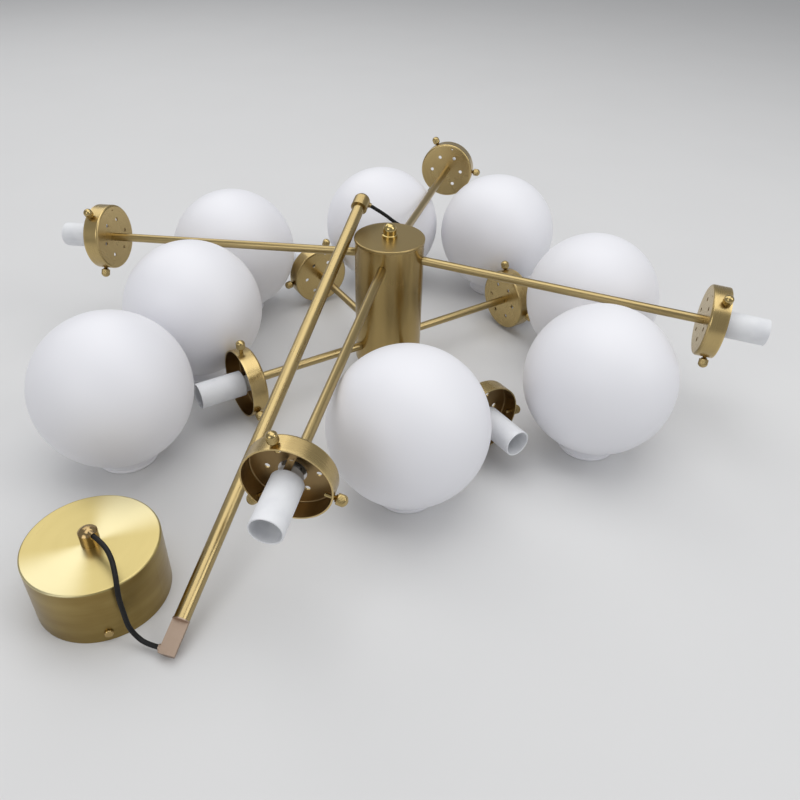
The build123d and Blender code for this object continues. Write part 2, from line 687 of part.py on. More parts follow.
def build_parts():
    """Every node's name with its solid or its list of solids."""
    parts = {
        "hub_shell": hub_shell(),
        "hub_top_plate": hub_top_plate(),
        "hub_bottom_plate": hub_bottom_plate(),
        "hub_stem": hub_stem(),
        "finial_nut": finial_nut(),
        "hub_foot": hub_foot(),
        "lock_nuts": lock_nuts(),
        "terminal_blocks": terminal_blocks(),
        "lampholders": [frame * lampholder() for frame in GALLERY_FRAMES],
        "holder_straps": [frame * holder_strap() for frame in GALLERY_FRAMES],
        "thumbscrews": other_screws(),
        "rod_tube": rod_tube(),
        "rod_lower_fitting": rod_lower_fitting(),
        "rod_upper_ferrule": rod_upper_ferrule(),
        "canopy_shell": canopy_shell(),
        "canopy_cord_grip": canopy_cord_grip(),
        "canopy_crossbar": canopy_crossbar(),
        "canopy_side_screws": canopy_side_screws(),
        "cord_canopy": canopy_cord(),
        "cord_hub": hub_cord(),
    }
    for index, name in enumerate(ARM_NAMES):
        parts["arm_" + name] = ARM_FRAMES[index] * arm(ARM_LENGTHS[index], ARM_DROOPS[index])
        parts["gallery_" + name] = GALLERY_FRAMES[index] * gallery(FIRST_SCREW_TURNS[index])
        parts["sleeve_" + name] = GALLERY_FRAMES[index] * sleeve()
        parts["clamp_screw_" + name] = clamp_screw(index)
    for number, place in enumerate(GLOBE_PLACES, start=1):
        parts["globe_%d" % number] = Pos(place[0], place[1], 0) * globe()
    return parts


def write_parts():
    """Write each node to its own file."""
    os.makedirs("parts", exist_ok=True)
    for name, shape in build_parts().items():
        whole = Compound(children=list(shape)) if isinstance(shape, list) else shape
        export_step(whole, os.path.join("parts", name + ".step"))


write_parts()
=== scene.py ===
"""Looks of a sputnik chandelier that is laid out for hanging.

Satin brass frame, opal glass balls, drop rod, ceiling canopy and cord, in the row frame and in metres.
"""

import logging
import math
from dataclasses import dataclass, field
from enum import Enum
from typing import Iterable, Sequence, Union

import bpy
import numpy as np
from mathutils import Matrix


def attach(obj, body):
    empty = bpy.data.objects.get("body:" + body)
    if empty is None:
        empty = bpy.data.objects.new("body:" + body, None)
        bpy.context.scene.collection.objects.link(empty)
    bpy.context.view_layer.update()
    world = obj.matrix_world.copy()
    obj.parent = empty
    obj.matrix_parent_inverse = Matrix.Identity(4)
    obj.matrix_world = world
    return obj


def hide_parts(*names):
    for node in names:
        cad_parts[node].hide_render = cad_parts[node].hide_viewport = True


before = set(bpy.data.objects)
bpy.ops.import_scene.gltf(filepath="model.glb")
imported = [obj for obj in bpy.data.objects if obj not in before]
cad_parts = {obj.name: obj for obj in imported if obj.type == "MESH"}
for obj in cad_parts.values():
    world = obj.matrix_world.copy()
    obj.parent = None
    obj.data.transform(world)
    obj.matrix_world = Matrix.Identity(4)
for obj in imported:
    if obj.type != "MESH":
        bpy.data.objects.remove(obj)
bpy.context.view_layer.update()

log = logging.getLogger("chandelier")
MM = 0.001
TURN = 2.0 * math.pi
WELD = 1e-7  # points nearer than this, in metres, are one
TINY = 1e-6  # metres, keeps a division by a radius safe on the axis
TINY_AREA = 1e-9  # square metres, the same for a division by a radius squared
Colour = tuple[float, float, float]
Number = Union[int, float]


# ---------------------------------------------------------------- places


@dataclass(frozen=True)
class Place:
    """A right-handed set of axes in the row frame, in metres. Each axis is a unit vector."""

    origin: np.ndarray
    x: np.ndarray
    y: np.ndarray
    z: np.ndarray

    def out(self, points: np.ndarray) -> np.ndarray:
        """Local points, one per row, taken to the row frame."""
        x, y, z = points[..., 0:1], points[..., 1:2], points[..., 2:3]
        return self.origin + x * self.x + y * self.y + z * self.z

    def moved(self, x: float, y: float, z: float) -> "Place":
        """The same axes at a local point, in metres."""
        return Place(self.out(np.array([x, y, z])), self.x, self.y, self.z)

    def turned(self, degrees: float) -> "Place":
        """The same place turned about its own Z by some degrees."""
        c, s = math.cos(math.radians(degrees)), math.sin(math.radians(degrees))
        return Place(self.origin, c * self.x + s * self.y, c * self.y - s * self.x, self.z)


def upright(x: float = 0.0, y: float = 0.0, z: float = 0.0) -> Place:
    """A place with the row frame's own axes at a point given in millimetres."""
    along_x, along_y, along_z = np.eye(3)
    return Place(np.array([x, y, z]) * MM, along_x, along_y, along_z)


def unit(vector: Sequence[float]) -> np.ndarray:
    """The unit vector along a vector."""
    vector = np.asarray(vector, float)
    return vector / np.linalg.norm(vector)


# ---------------------------------------------------------------- meshes


def new_mesh_piece(name: str, points: np.ndarray, faces: np.ndarray,
                   smooth: bool = True) -> bpy.types.Object:
    """Puts arrays into a mesh whose object sits at the origin.

    Points that meet, as at a pole, become one, and a quad that loses a corner by that becomes a triangle.

    Args:
        name: The piece's name.
        points: Vertices in metres, one per row.
        faces: Four point numbers per row, counter-clockwise from outside.
        smooth: Whether the faces are shaded smooth.

    Returns:
        The new object, linked to the scene.
    """
    grid = np.round(points / WELD).astype(np.int64)
    _, first, same = np.unique(grid, axis=0, return_index=True, return_inverse=True)
    faces = same.reshape(-1)[faces]
    corners = [list(dict.fromkeys(face)) for face in faces.tolist()]
    mesh = bpy.data.meshes.new(name)
    mesh.from_pydata(points[first].tolist(), [], [face for face in corners if len(face) > 2])
    mesh.polygons.foreach_set("use_smooth", np.full(len(mesh.polygons), smooth))
    mesh.update()
    piece = bpy.data.objects.new(name, mesh)
    bpy.context.scene.collection.objects.link(piece)
    return piece


def grid_faces(rows: int, columns: int) -> np.ndarray:
    """The quads of a grid of points that is closed round its columns.

    Args:
        rows: Points along the grid.
        columns: Points round the grid.

    Returns:
        Four point numbers per row, counter-clockwise from outside.
    """
    i, j = np.meshgrid(np.arange(rows - 1), np.arange(columns), indexing="ij")
    after = (j + 1) % columns
    lower, upper = i * columns, (i + 1) * columns
    return np.stack([lower + j, lower + after, upper + after, upper + j], axis=-1).reshape(-1, 4)


def turned_surface(outline: np.ndarray, place: Place, groove: np.ndarray) -> tuple[np.ndarray, np.ndarray]:
    """A surface of revolution that is cut by a groove.

    Formula: the point at outline step i and angle a is (r cos a, r sin a, h_i), where r is the outline's radius
    r_i less the groove's depth at that step and angle.

    Args:
        outline: Radius and height in millimetres, one row per step, from the lower pole to the upper one.
        place: Where the axis stands.
        groove: Depth to take off the radius in millimetres, one row per step and one column per angle.

    Returns:
        The points in metres and the quads.
    """
    columns = groove.shape[1]
    angle = np.arange(columns) * TURN / columns
    radius = np.maximum(outline[:, :1] - groove, 0.0)
    height = np.broadcast_to(outline[:, 1:2], radius.shape)
    points = np.stack([radius * np.cos(angle), radius * np.sin(angle), height], axis=-1)
    return place.out(points.reshape(-1, 3) * MM), grid_faces(len(outline), columns)


def join_surfaces(parts: Iterable[tuple[np.ndarray, np.ndarray]]) -> tuple[np.ndarray, np.ndarray]:
    """Several surfaces as one set of points and quads.

    Args:
        parts: Points and quads of each surface.

    Returns:
        The points and the quads of them all.
    """
    parts = list(parts)
    starts = np.cumsum([0] + [len(points) for points, _ in parts])
    faces = [quads + start for (_, quads), start in zip(parts, starts)]
    return np.concatenate([points for points, _ in parts]), np.concatenate(faces)


# ---------------------------------------------------------------- shader maths


class Value:
    """A number that changes over a surface.

    It is one output socket of a node, and Python's operators on it make Math nodes.
    """

    def __init__(self, work: "Work", socket: bpy.types.NodeSocket) -> None:
        """Keeps the material and the socket."""
        self.work = work
        self.socket = socket

    def _math(self, operation: str, *inputs: "Operand") -> "Value":
        """One Math node over the inputs."""
        return self.work.node("ShaderNodeMath", {"operation": operation}, dict(enumerate(inputs))).out(0)

    def __add__(self, other: "Operand") -> "Value":
        """Sum."""
        return self._math("ADD", self, other)

    __radd__ = __add__

    def __mul__(self, other: "Operand") -> "Value":
        """Product."""
        return self._math("MULTIPLY", self, other)

    def __truediv__(self, other: "Operand") -> "Value":
        """Quotient."""
        return self._math("DIVIDE", self, other)

    def __pow__(self, other: "Operand") -> "Value":
        """Power."""
        return self._math("POWER", self, other)

    def ramp(self, low: float, high: float) -> "Value":
        """0 at or under low and 1 at or over high, eased in between. With low over high it falls."""
        return self.work.node("ShaderNodeMapRange", {"interpolation_type": "SMOOTHSTEP"},
                              {"Value": self, "From Min": low, "From Max": high}).out("Result")


Operand = Union[Value, Number]


@dataclass
class Made:
    """A node that has just been made."""

    work: "Work"
    node: bpy.types.Node

    def out(self, key: Union[int, str]) -> Value:
        """One output of the node."""
        return Value(self.work, self.node.outputs[key])


class Work:
    """The node tree of one material while it is being made."""

    def __init__(self, name: str) -> None:
        """Makes an empty material.

        Args:
            name: The material's name.
        """
        self.material = bpy.data.materials.new(name)
        self.material.use_nodes = True
        self.tree = self.material.node_tree
        self.tree.nodes.clear()

    def node(self, kind: str, settings: dict, inputs: dict) -> Made:
        """Makes any node.

        Args:
            kind: Blender's name of the node type.
            settings: Attributes that are set first.
            inputs: Values or links by socket name or number.

        Returns:
            The node, ready to read its outputs.
        """
        made = self.tree.nodes.new(kind)
        for key, value in settings.items():
            setattr(made, key, value)
        for key, value in inputs.items():
            if isinstance(value, Value):
                self.tree.links.new(value.socket, made.inputs[key])
            else:
                made.inputs[key].default_value = value
        return Made(self, made)

    def point(self) -> Value:
        """The surface point in the row frame, in metres."""
        return self.node("ShaderNodeTexCoord", {}, {}).out("Object")

    def along(self, point: Value, axis: np.ndarray, origin: np.ndarray) -> Value:
        """How far a point lies from the origin along an axis, in metres.

        Args:
            point: The point.
            axis: A unit vector.
            origin: Where the measure starts.

        Returns:
            The distance, with its sign.
        """
        kind = "ShaderNodeVectorMath"
        off = self.node(kind, {"operation": "SUBTRACT"}, {0: point, 1: tuple(origin)}).out(0)
        return self.node(kind, {"operation": "DOT_PRODUCT"}, {0: off, 1: tuple(axis)}).out("Value")

    def local(self, place: Place) -> "Local":
        """The surface point in the axes of a place."""
        point = self.point()
        return Local(self, *(self.along(point, axis, place.origin) for axis in (place.x, place.y, place.z)))

    def joined(self, x: Operand, y: Operand, z: Operand) -> Value:
        """A vector from three numbers."""
        return self.node("ShaderNodeCombineXYZ", {}, {0: x, 1: y, 2: z}).out(0)

    def noise(self, vector: Value, scale: float, detail: float = 2.0, w: Union[Operand, None] = None) -> Value:
        """A soft noise from 0 to 1 at a scale in lumps per unit of the vector.

        Args:
            vector: Where the noise is read.
            scale: Lumps per unit.
            detail: Octaves.
            w: The fourth number of the place, if there is one.

        Returns:
            The noise.
        """
        settings = {"noise_dimensions": "3D" if w is None else "4D"}
        inputs = {"Vector": vector, "Scale": scale, "Detail": detail, "Roughness": 0.5}
        if w is not None:
            inputs["W"] = w
        return self.node("ShaderNodeTexNoise", settings, inputs).out(0)

    def mixed(self, factor: Operand, low: Union[Value, Colour], high: Union[Value, Colour]) -> Value:
        """A colour between two colours.

        Args:
            factor: How far it goes from the first to the second.
            low: The first colour.
            high: The second colour.

        Returns:
            The colour.
        """
        made = self.tree.nodes.new("ShaderNodeMix")
        made.data_type = "RGBA"
        sockets = {s.identifier: s for s in made.inputs}
        for key, value in (("Factor_Float", factor), ("A_Color", low), ("B_Color", high)):
            if isinstance(value, Value):
                self.tree.links.new(value.socket, sockets[key])
            else:
                sockets[key].default_value = value if key == "Factor_Float" else (*value, 1.0)
        return Value(self, next(s for s in made.outputs if s.identifier == "Result_Color"))

    def bump(self, height: Value, distance: float, strength: float, under: Union[Value, None] = None) -> Value:
        """A bumped normal from a height of 0 to 1, the distance in metres.

        Args:
            height: The height.
            distance: How deep 0 lies under 1.
            strength: How strongly that shows.
            under: A normal that is bumped already, if there is one.

        Returns:
            The normal.
        """
        inputs = {"Height": height, "Distance": distance, "Strength": strength}
        if under is not None:
            inputs["Normal"] = under
        return self.node("ShaderNodeBump", {}, inputs).out(0)

    def surface(self, **inputs: Union[Operand, Colour, tuple]) -> bpy.types.Material:
        """Ends the material in a Principled shader whose sockets are named with underscores for spaces.

        Args:
            **inputs: Numbers, colours or values by socket name.

        Returns:
            The finished material.
        """
        named = {}
        for key, value in inputs.items():
            key = key.replace("_", " ")
            named[key] = (*value, 1.0) if isinstance(value, tuple) and len(value) == 3 else value
        shader = self.node("ShaderNodeBsdfPrincipled", {}, named)
        self.node("ShaderNodeOutputMaterial", {}, {"Surface": shader.out(0)})
        return self.material


@dataclass
class Local:
    """A surface point as three numbers along a place's axes, in metres."""

    work: Work
    x: Value
    y: Value
    z: Value

    def radius(self) -> Value:
        """Distance from the Z axis."""
        return (self.x * self.x + self.y * self.y) ** 0.5

    def lathe_noise(self, fine: float, wander: float) -> Value:
        """Noise drawn out round the Z axis, as a lathe or a polishing wheel leaves it.

        The cosine and sine of the angle, the radius and the height are the four numbers of a 4D noise, so it
        runs on without a seam, fine across the lines and slow along them.

        Args:
            fine: Lines per metre across the grain.
            wander: How fast the pattern changes round the axis.

        Returns:
            A number from 0 to 1.
        """
        safe = self.radius() + TINY
        vector = self.work.joined(self.x / safe * wander, self.y / safe * wander, self.z * fine)
        return self.work.noise(vector, 1.0, w=safe * fine)

    def drawn_noise(self, fine: float, slow: float) -> Value:
        """Noise drawn out along Z, as a drawing die leaves it: fine across the lines, slow along them."""
        return self.work.noise(self.work.joined(self.x * fine, self.y * fine, self.z * slow), 1.0)


# ---------------------------------------------------------------- finishes


@dataclass(frozen=True)
class Speckle:
    """A noise that is fixed to the row frame: its lumps per metre and its octaves."""

    scale: float
    detail: float

    def on(self, work: Work) -> Value:
        """The noise at the surface point, from 0 to 1."""
        return work.noise(work.point(), self.scale, self.detail)


@dataclass(frozen=True)
class Relief:
    """How deep a noise stands out of a surface, in metres, and how strongly that shows."""

    depth: float
    strength: float

    def of(self, height: Value, under: Union[Value, None] = None) -> Value:
        """The bumped normal of a height from 0 to 1, over another one if there is one."""
        return height.work.bump(height, self.depth, self.strength, under)


class Grain(Enum):
    """Which way a metal surface's fine lines run, with the measures of its noise.

    The numbers are how fast a line changes along its run, how many lines a band is wide, and how fast a band
    changes along its run.
    """

    ROUND = (1.2, 14.0, 0.9)
    ALONG = (6.0, 9.0, 1.5)

    def noises(self, here: Local, fine: float) -> tuple[Value, Value]:
        """The fine lines and the wide bands at a surface point, each from 0 to 1.

        Args:
            here: The surface point in the piece's axes.
            fine: Lines per metre.

        Returns:
            The lines and the bands.
        """
        line_run, width, band_run = self.value
        drawn = here.lathe_noise if self is Grain.ROUND else here.drawn_noise
        return drawn(fine, line_run), drawn(fine / width, band_run)


@dataclass(frozen=True)
class Brass:
    """Lacquered brass with polishing lines, a slight change of tone and faint smears.

    Attributes:
        tone: Its lighter tone.
        deep: Its darker tone.
        rough: Roughness between the lines.
        lines: How much rougher a line is.
        grain: Which way the lines run.
        fine: Lines per metre.
        banding: How much the wide bands change the tone.
        line_depth: Depth of a line in metres.
        line_strength: How strongly that depth shows.
        smear: The smears' noise.
        smearing: How much the smears change the tone.
        smear_span: The noise between which a smear begins and is full.
        smear_rough: How much rougher a smear is.
        even: The share of the lighter tone in what neither the bands nor the smears decide.
        fleck: The flecks' noise.
        fleck_relief: How the flecks stand out.
        dust_and_highlight: How far a rim goes towards the brighter tone, a painted highlight.
        highlight_gain: How much brighter that tone is.
    """

    tone: Colour = (0.56, 0.415, 0.19)
    deep: Colour = (0.45, 0.315, 0.13)
    rough: float = 0.26
    lines: float = 0.08
    grain: Grain = Grain.ROUND
    fine: float = 2600.0
    banding: float = 0.5
    line_depth: float = 0.00006
    line_strength: float = 0.30
    smear: Speckle = Speckle(26.0, 3.0)
    smearing: float = 0.3
    smear_span: tuple[float, float] = (0.45, 0.75)
    smear_rough: float = 0.05
    even: float = 0.7
    fleck: Speckle = Speckle(900.0, 1.0)
    fleck_relief: Relief = Relief(0.000008, 0.25)
    dust_and_highlight: float = 0.55
    highlight_gain: float = 1.28

    def made(self, name: str, place: Place, rim: Union[tuple[float, float], None] = None,
             shaded_hollow: Union["Hollow", None] = None, plate: Union["TopPlate", None] = None) -> bpy.types.Material:
        """The finish on a piece that stands about the Z axis of a place.

        Args:
            name: The material's name.
            place: The piece's axes.
            rim: Heights in millimetres between which the metal is brighter, a painted highlight on the edge.
            shaded_hollow: The inside of a cup, rougher than the outside and darkened with painted shade.
            plate: The flat top of a cover, with a painted highlight in a fan along the place's X and painted
                shade on the side below it.

        Returns:
            The material.
        """
        work = Work(name)
        here = work.local(place)
        line, band = self.grain.noises(here, self.fine)
        smear = self.smear.on(work)
        rest = 1.0 - self.smearing - self.banding
        share = band * self.banding + smear * self.smearing + rest * self.even
        tone = work.mixed(share, self.deep, self.tone)
        # Painted light on a cover: a highlight fan on its top and shade on its side.
        if plate is not None:
            tone = plate.over(here, band, smear, tone)
        # Painted highlight: the rim's colour is lifted towards a brighter tone of the same brass.
        if rim is not None:
            painted_highlight = tuple(min(1.0, c * self.highlight_gain) for c in self.tone)
            tone = work.mixed(here.z.ramp(rim[0] * MM, rim[1] * MM) * self.dust_and_highlight, tone, painted_highlight)
        rough = self.rough + line * self.lines + smear.ramp(*self.smear_span) * self.smear_rough
        # Painted shade: the inside of a cup is darkened in its colour; its extra roughness is real.
        if shaded_hollow is not None:
            inside = shaded_hollow.share(here)
            tone = work.mixed(inside, tone, shaded_hollow.tone)
            rough = rough + inside * shaded_hollow.rougher
        scored = Relief(self.line_depth, self.line_strength).of(line)
        normal = self.fleck_relief.of(self.fleck.on(work), scored)
        return work.surface(Base_Color=tone, Metallic=1.0, Roughness=rough, Normal=normal)


@dataclass(frozen=True)
class Hollow:
    """The inside of a spun cup: its radius and floor in millimetres, the painted shade that darkens it, and its
    rougher metal.
    """

    radius: float
    floor: float
    # The colour of the painted shade inside the cup.
    tone: Colour = (0.30, 0.205, 0.095)
    rougher: float = 0.08
    edge: float = 0.3

    def share(self, here: Local) -> Value:
        """1 inside the cup and 0 outside, eased over the edge's width in millimetres."""
        within = here.radius().ramp((self.radius + self.edge) * MM, self.radius * MM)
        return within * here.z.ramp(self.floor * MM - self.edge * MM, self.floor * MM)


@dataclass(frozen=True)
class TopPlate:
    """The flat top of a spun cover, with a painted highlight in a fan on it and painted shade on the side below
    it.

    Attributes:
        start: The height in millimetres at which the plate starts.
        edge: Half the height over which the side passes into it, in millimetres.
        painted_highlight: The fan's tone.
        fan_from: The squared cosine from which the fan shows.
        fan_full: How far it goes towards its tone.
        shaded_wall: The side's lighter tone, with painted shade.
        shaded_wall_deep: The side's darker tone, with painted shade.
        wall_span: The cloud between which the side goes from the one tone to the other.
        band_share: The share of the wide bands in that cloud, against the smears.
    """

    start: float
    edge: float = 0.4
    painted_highlight: Colour = (0.80, 0.72, 0.44)
    fan_from: float = 0.40
    fan_full: float = 0.75
    shaded_wall: Colour = (0.36, 0.265, 0.095)
    shaded_wall_deep: Colour = (0.27, 0.185, 0.06)
    wall_span: tuple[float, float] = (0.3, 0.7)
    band_share: float = 0.6

    def over(self, here: Local, band: Value, smear: Value, tone: Value) -> Value:
        """The plate's fan and the duller wall below it, laid over the cover's own tone.

        Formula: the fan grows with the squared cosine of the angle from the X axis, x * x / (x * x + y * y).

        Args:
            here: The surface point in the cover's axes.
            band: The wide bands at that point.
            smear: The smears at that point.
            tone: The cover's own tone.

        Returns:
            The tone with both laid over it.
        """
        mixed = here.work.mixed
        across = here.x * here.x
        # Painted highlight: a fan of lighter colour about the X axis.
        fan = (across / (across + here.y * here.y + TINY_AREA)).ramp(self.fan_from, 1.0)
        top = mixed(fan * self.fan_full, tone, self.painted_highlight)
        # Painted shade: the side below the plate gets darker tones, clouded by the bands and smears.
        cloud = band * self.band_share + smear * (1.0 - self.band_share)
        side = mixed(cloud.ramp(*self.wall_span), self.shaded_wall_deep, self.shaded_wall)
        return mixed(here.z.ramp((self.start - self.edge) * MM, (self.start + self.edge) * MM), side, top)


@dataclass(frozen=True)
class Steel:
    """Bright plated steel with a faint grey cloud and fine scratches."""

    tone: Colour = (0.62, 0.61, 0.59)
    deep: Colour = (0.42, 0.41, 0.40)
    rough: float = 0.22
    cloud: Speckle = Speckle(160.0, 4.0)
    cloud_rough: float = 0.14
    scratch: Speckle = Speckle(2200.0, 1.0)
    relief: Relief = Relief(0.00003, 0.2)

    def made(self, name: str) -> bpy.types.Material:
        """The finish, the same on every piece that has it.

        Args:
            name: The material's name.

        Returns:
            The material.
        """
        work = Work(name)
        cloud, scratch = self.cloud.on(work), self.scratch.on(work)
        tone = work.mixed(cloud, self.deep, self.tone)
        return work.surface(Base_Color=tone, Metallic=1.0, Roughness=self.rough + cloud * self.cloud_rough,
                            Normal=self.relief.of(scratch))


@dataclass(frozen=True)
class OpalGlass:
    """Blown opal glass, etched to a satin outside."""

    tone: Colour = (0.875, 0.875, 0.91)
    milk: Colour = (0.835, 0.835, 0.875)
    rough: float = 0.42
    cloud: Speckle = Speckle(9.0, 2.0)
    cloud_span: tuple[float, float] = (0.3, 0.8)
    etch: Speckle = Speckle(1500.0, 2.0)
    etch_rough: float = 0.08
    relief: Relief = Relief(0.00003, 0.3)
    ior: float = 1.48

    def made(self, name: str) -> bpy.types.Material:
        """The finish, the same on every globe.

        Args:
            name: The material's name.

        Returns:
            The material.
        """
        work = Work(name)
        cloud, etch = self.cloud.on(work), self.etch.on(work)
        tone = work.mixed(cloud.ramp(*self.cloud_span), self.tone, self.milk)
        return work.surface(Base_Color=tone, Metallic=0.0, Roughness=self.rough + etch * self.etch_rough,
                            Normal=self.relief.of(etch), IOR=self.ior)


@dataclass(frozen=True)
class Moulded:
    """Matt moulded plastic with a faint eggshell."""

    tone: Colour = (0.83, 0.84, 0.86)
    shade: Colour = (0.74, 0.75, 0.78)
    rough: float = 0.5
    cloud: Speckle = Speckle(55.0, 3.0)
    cloud_span: tuple[float, float] = (0.35, 0.8)
    shell: Speckle = Speckle(1700.0, 2.0)
    shell_rough: float = 0.1
    relief: Relief = Relief(0.00004, 0.35)
    ior: float = 1.46

    def made(self, name: str) -> bpy.types.Material:
        """The finish, the same on every piece that has it.

        Args:
            name: The material's name.

        Returns:
            The material.
        """
        work = Work(name)
        cloud, shell = self.cloud.on(work), self.shell.on(work)
        tone = work.mixed(cloud.ramp(*self.cloud_span), self.tone, self.shade)
        return work.surface(Base_Color=tone, Metallic=0.0, Roughness=self.rough + shell * self.shell_rough,
                            Normal=self.relief.of(shell), IOR=self.ior)


@dataclass(frozen=True)
class CordSheath:
    """A black round sheath with a slight sheen, dust and fine extrusion marks."""

    tone: Colour = (0.006, 0.006, 0.006)
    dust_and_highlight: Colour = (0.014, 0.013, 0.013)
    rough: float = 0.48
    dust: Speckle = Speckle(240.0, 4.0)
    dust_span: tuple[float, float] = (0.4, 0.8)
    dust_rough: float = 0.2
    mark: Speckle = Speckle(2400.0, 2.0)
    relief: Relief = Relief(0.00002, 0.4)
    gloss: float = 0.3

    def made(self, name: str) -> bpy.types.Material:
        """The finish, the same on both stretches of cord.

        Args:
            name: The material's name.

        Returns:
            The material.
        """
        work = Work(name)
        dust, mark = self.dust.on(work), self.mark.on(work)
        tone = work.mixed(dust.ramp(*self.dust_span), self.tone, self.dust_and_highlight)
        return work.surface(Base_Color=tone, Metallic=0.0, Roughness=self.rough + dust * self.dust_rough,
                            Normal=self.relief.of(mark), Specular_IOR_Level=self.gloss)


def dress(node: str, material: bpy.types.Material) -> None:
    """Gives a CAD node a finish and reports it.

    Args:
        node: The node's name.
        material: The finish.
    """
    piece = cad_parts[node]
    piece.data.materials.clear()
    piece.data.materials.append(material)
    log.info("dressed %s in %s", node, material.name)


def clothe(piece: bpy.types.Object, material: bpy.types.Material, body: str) -> None:
    """Gives a new piece its finish and its body, and reports it.

    Args:
        piece: The piece.
        material: The finish.
        body: The body it moves with.
    """
    piece.data.materials.clear()
    piece.data.materials.append(material)
    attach(piece, body)
    log.info("made %s on %s", piece.name, body)


# ---------------------------------------------------------------- the view


def standing(turn: np.ndarray, at: Sequence[float]) -> Matrix:
    """The placing of a camera or a lamp: its three axes as columns, and the point where it is."""
    return Matrix([[*turn[i], at[i]] for i in range(3)] + [[0, 0, 0, 1]])


@dataclass(frozen=True)
class Viewpoint:
    """The place and lens that the object is seen from."""

    at: tuple[float, float, float] = (0.1741, -0.7324, 0.5097)
    down: float = 36.79
    left: float = 12.13
    roll: float = -1.73
    focal: float = 754.1
    frame_width: float = 800.0
    sensor: float = 36.0
    clip: tuple[float, float] = (0.01, 60.0)

    def make(self) -> None:
        """Makes the scene's camera."""
        yaw, pitch, roll = (math.radians(v) for v in (-self.left, self.down, self.roll))
        ahead = np.array([math.sin(yaw) * math.cos(pitch), math.cos(yaw) * math.cos(pitch), -math.sin(pitch)])
        right = np.array([math.cos(yaw), -math.sin(yaw), 0.0])
        below = np.cross(ahead, right)
        c, s = math.cos(roll), math.sin(roll)
        right, below = c * right + s * below, c * below - s * right
        data = bpy.data.cameras.new("view")
        data.sensor_width = self.sensor
        data.lens = self.sensor * self.focal / self.frame_width
        data.clip_start, data.clip_end = self.clip
        camera = bpy.data.objects.new("view", data)
        bpy.context.scene.collection.objects.link(camera)
        turn = np.stack([right, -below, -ahead], axis=1)
        camera.matrix_world = standing(turn, self.at)
        bpy.context.scene.camera = camera


@dataclass(frozen=True)
class Lamp:
    """One soft box: where it is, how large, how strong, and what it faces."""

    name: str
    at: tuple[float, float, float]
    size: tuple[float, float]
    watts: float
    colour: Colour = (1.0, 1.0, 1.0)
    towards: tuple[float, float, float] = (0.0, -0.05, 0.08)


@dataclass
class Studio:
    """A pale floor, an even pale surround and soft boxes.

    A box whose way to its target is nearly plumb, by the cosine overhead_from, has its sides along X and Y.
    """

    floor_tone: Colour = (0.72, 0.72, 0.72)
    floor_rough: float = 0.75
    mottle: Speckle = Speckle(6.0, 3.0)
    mottle_dark: float = 0.97
    mottle_rough: float = 0.1
    surround: Colour = (0.80, 0.81, 0.83)
    surround_strength: float = 0.43
    floor_half: float = 14.0
    floor_gap: float = 0.0002
    overhead_from: float = 0.99
    lamps: tuple[Lamp, ...] = (
        Lamp("box_back_left", (-1.5, 1.15, 1.75), (1.9, 1.5), 11.0),
        Lamp("box_right", (1.9, -0.3, 1.5), (1.0, 1.5), 10.5),
        Lamp("box_front", (-0.7, -2.1, 1.3), (1.3, 1.1), 8.2),
        Lamp("box_top", (0.1, 0.1, 2.4), (2.4, 2.4), 29.0),
    )

    def floor_finish(self) -> bpy.types.Material:
        """Pale matt floor with a hardly visible mottle.

        Returns:
            The material.
        """
        work = Work("floor_paper")
        mottle = self.mottle.on(work)
        low = tuple(c * self.mottle_dark for c in self.floor_tone)
        tone = work.mixed(mottle, low, self.floor_tone)
        return work.surface(Base_Color=tone, Roughness=self.floor_rough + mottle * self.mottle_rough)

    def make(self) -> None:
        """Makes the floor, the surround and the lamps."""
        h, z = self.floor_half, -self.floor_gap
        corners = np.array([[-h, -h, z], [h, -h, z], [h, h, z], [-h, h, z]])
        floor = new_mesh_piece("studio_floor", corners, np.array([[0, 1, 2, 3]]), smooth=False)
        floor.data.materials.append(self.floor_finish())
        world = bpy.data.worlds.new("surround")
        bpy.context.scene.world = world
        world.use_nodes = True
        backdrop = world.node_tree.nodes["Background"]
        backdrop.inputs["Color"].default_value = (*self.surround, 1.0)
        backdrop.inputs["Strength"].default_value = self.surround_strength
        for lamp in self.lamps:
            data = bpy.data.lights.new(lamp.name, "AREA")
            data.shape = "RECTANGLE"
            data.size, data.size_y = lamp.size
            data.energy = lamp.watts
            data.color = lamp.colour
            light = bpy.data.objects.new(lamp.name, data)
            bpy.context.scene.collection.objects.link(light)
            back = unit(np.array(lamp.at) - np.array(lamp.towards))
            overhead = back[2] >= self.overhead_from
            side = np.array([1.0, 0, 0]) if overhead else unit(np.cross((0.0, 0.0, 1.0), back))
            turn = np.stack([side, np.cross(back, side), back], axis=1)
            light.matrix_world = standing(turn, lamp.at)


# ---------------------------------------------------------------- cords


@dataclass
class CordRun:
    """One stretch of the thin black cord, from collar to collar."""

    name: str
    node: str
    length: float
    points: tuple[tuple[float, float, float], ...]
    diameter: float = 0.0040
    body: str = "frame"
    order: int = 3
    steps_round: int = 6
    steps_along: int = 12

    def make(self, material: bpy.types.Material) -> None:
        """Makes the cord as one NURBS curve whose control points are the route's points.

        Args:
            material: The sheath's finish.
        """
        curve = bpy.data.curves.new(self.name, "CURVE")
        curve.dimensions = "3D"
        curve.bevel_depth = self.diameter / 2
        curve.bevel_resolution = self.steps_round
        curve.resolution_u = self.steps_along
        curve.use_fill_caps = True
        spline = curve.splines.new("NURBS")
        spline.points.add(len(self.points) - 1)
        for knot, point in zip(spline.points, self.points):
            knot.co = (*point, 1.0)
        spline.order_u = self.order
        spline.use_endpoint_u = True
        piece = bpy.data.objects.new(self.name, curve)
        bpy.context.scene.collection.objects.link(piece)
        clothe(piece, material, self.body)
        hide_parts(self.node)


